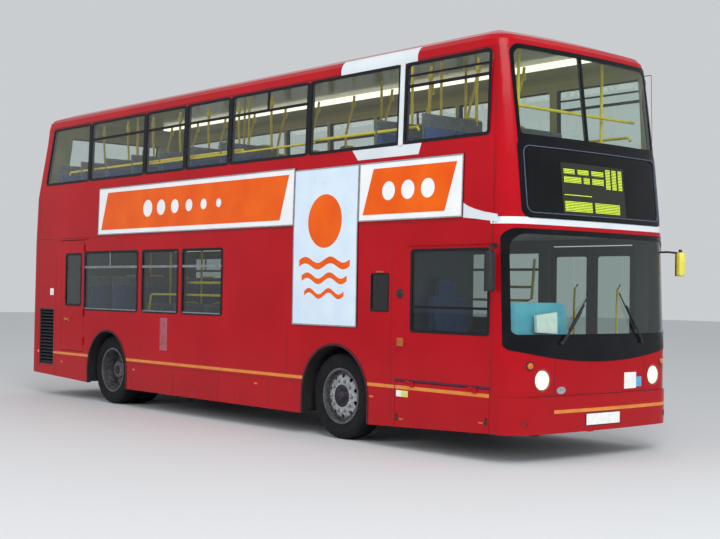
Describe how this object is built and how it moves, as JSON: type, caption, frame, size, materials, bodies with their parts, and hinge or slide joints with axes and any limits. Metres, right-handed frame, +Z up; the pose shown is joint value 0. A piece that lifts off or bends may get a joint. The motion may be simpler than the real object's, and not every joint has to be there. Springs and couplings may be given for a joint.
{
  "type": "double-decker bus",
  "caption": "Two-door low-floor double-deck city bus with a blank route display, display boards on the offside, opening doors, steered front wheels and twin rear wheels.",
  "frame": {"origin": "on the road under the middle of the bus, half way along its length and width", "axes": "+X forward to the nose, +Y to the nearside (kerb), +Z up"},
  "size_m": [10.1973, 2.8, 4.3],
  "materials": {
    "red_paint": "gloss coach paint",
    "window_glass": "lightly tinted safety glass",
    "black_plastic": "satin moulded",
    "dash_blue": "grained moulding",
    "door_black": "framed glass door leaves",
    "white_board": "printed board",
    "floor_grey": "vinyl flooring on ply",
    "lining": "laminate",
    "seat_blue": "moquette",
    "rail_yellow": "powder coat",
    "lamp_clear": "moulded lens",
    "light_white": "diffuser",
    "chassis_black": "chassis black",
    "engine_iron": "cast",
    "tyre": "rubber",
    "wheel_steel": "silver paint"
  },
  "bodies": {
    "bus_body": {"advert_boards": "white_board", "cab_screen": "lining", "ceiling_lights": "light_white", "chassis_members": "chassis_black", "chassis_rails": "chassis_black", "dashboard": "dash_blue", "destination_box": "black_plastic", "driver_seat": "seat_blue", "engine_block": "engine_iron", "engine_grille": "black_plastic", "front_axle_beam": "chassis_black", "front_bumper": "red_paint", "front_lower_panel": "red_paint", "front_upper_panel": "red_paint", "grab_rails": "rail_yellow", "lamps": "lamp_clear", "lower_floor": "floor_grey", "lower_seats": "seat_blue", "lower_windscreen": "window_glass", "mirrors": "black_plastic", "nearside_glass": "window_glass", "nearside_lower_wall": "red_paint", "nearside_upper_wall": "red_paint", "offside_glass": "window_glass", "offside_lower_wall": "red_paint", "offside_upper_wall": "red_paint", "propeller_shaft": "chassis_black", "rear_axle_casing": "chassis_black", "rear_lower_panel": "red_paint", "rear_upper_panel": "red_paint", "rear_window": "window_glass", "roof": "red_paint", "seat_frames": "chassis_black", "staircase": "floor_grey", "steering_wheel": "black_plastic", "upper_floor": "floor_grey", "upper_seats": "seat_blue", "upper_windscreen": "window_glass", "wheel_housings": "chassis_black", "wipers": "black_plastic"},
    "offside_hub": {"offside_knuckle": "chassis_black"},
    "nearside_hub": {"nearside_knuckle": "chassis_black"},
    "front_offside_wheel": {"front_offside_tyre": "tyre", "front_offside_rim": "wheel_steel"},
    "front_nearside_wheel": {"front_nearside_tyre": "tyre", "front_nearside_rim": "wheel_steel"},
    "rear_offside_wheel": {"rear_offside_tyres": "tyre", "rear_offside_rims": "wheel_steel"},
    "rear_nearside_wheel": {"rear_nearside_tyres": "tyre", "rear_nearside_rims": "wheel_steel"},
    "emergency_door": {"emergency_door": "red_paint"},
    "offside_flap": {"offside_flap": "red_paint"},
    "engine_cover": {"engine_cover": "red_paint"},
    "entrance_front_leaf": {"entrance_front_leaf": "door_black"},
    "entrance_rear_leaf": {"entrance_rear_leaf": "door_black"},
    "exit_front_leaf": {"exit_front_leaf": "door_black"},
    "exit_rear_leaf": {"exit_rear_leaf": "door_black"}
  },
  "joints": [
    {"name": "offside_steer", "type": "hinge", "parent": "bus_body", "child": "offside_hub", "pos_m": [2.362, -0.93, 0.478], "axis": [0, 0, 1], "range_deg": [-40, 40]},
    {"name": "nearside_steer", "type": "hinge", "parent": "bus_body", "child": "nearside_hub", "pos_m": [2.362, 0.93, 0.478], "axis": [0, 0, 1], "range_deg": [-40, 40]},
    {"name": "front_offside_spin", "type": "hinge", "parent": "offside_hub", "child": "front_offside_wheel", "pos_m": [2.362, -1.035, 0.478], "axis": [0, 1, 0], "continuous": true},
    {"name": "front_nearside_spin", "type": "hinge", "parent": "nearside_hub", "child": "front_nearside_wheel", "pos_m": [2.362, 1.035, 0.478], "axis": [0, 1, 0], "continuous": true},
    {"name": "rear_offside_spin", "type": "hinge", "parent": "bus_body", "child": "rear_offside_wheel", "pos_m": [-2.705, -0.88, 0.478], "axis": [0, 1, 0], "continuous": true},
    {"name": "rear_nearside_spin", "type": "hinge", "parent": "bus_body", "child": "rear_nearside_wheel", "pos_m": [-2.705, 0.88, 0.478], "axis": [0, 1, 0], "continuous": true},
    {"name": "emergency_door_hinge", "type": "hinge", "parent": "bus_body", "child": "emergency_door", "pos_m": [-3.403, -1.271, 1.5], "axis": [0, 0, 1], "range_deg": [0, 105]},
    {"name": "offside_flap_hinge", "type": "hinge", "parent": "bus_body", "child": "offside_flap", "pos_m": [4.046, -1.271, 0.713], "axis": [-1, 0, 0], "range_deg": [0, 85]},
    {"name": "engine_cover_hinge", "type": "hinge", "parent": "bus_body", "child": "engine_cover", "pos_m": [-5.094, 0, 1.407], "axis": [0, 1, 0], "range_deg": [0, 75]},
    {"name": "entrance_front_hinge", "type": "hinge", "parent": "bus_body", "child": "entrance_front_leaf", "pos_m": [4.518, 1.228, 1.2], "axis": [0, 0, 1], "range_deg": [0, 88]},
    {"name": "entrance_rear_hinge", "type": "hinge", "parent": "bus_body", "child": "entrance_rear_leaf", "pos_m": [3.342, 1.228, 1.2], "axis": [0, 0, -1], "range_deg": [0, 88]},
    {"name": "exit_front_hinge", "type": "hinge", "parent": "bus_body", "child": "exit_front_leaf", "pos_m": [1.408, 1.228, 1.2], "axis": [0, 0, 1], "range_deg": [0, 88]},
    {"name": "exit_rear_hinge", "type": "hinge", "parent": "bus_body", "child": "exit_rear_leaf", "pos_m": [0.292, 1.228, 1.2], "axis": [0, 0, -1], "range_deg": [0, 88]}
  ],
  "couplings": [
    {"joint": "nearside_steer", "follows": "offside_steer", "ratio": 1}
  ]
}
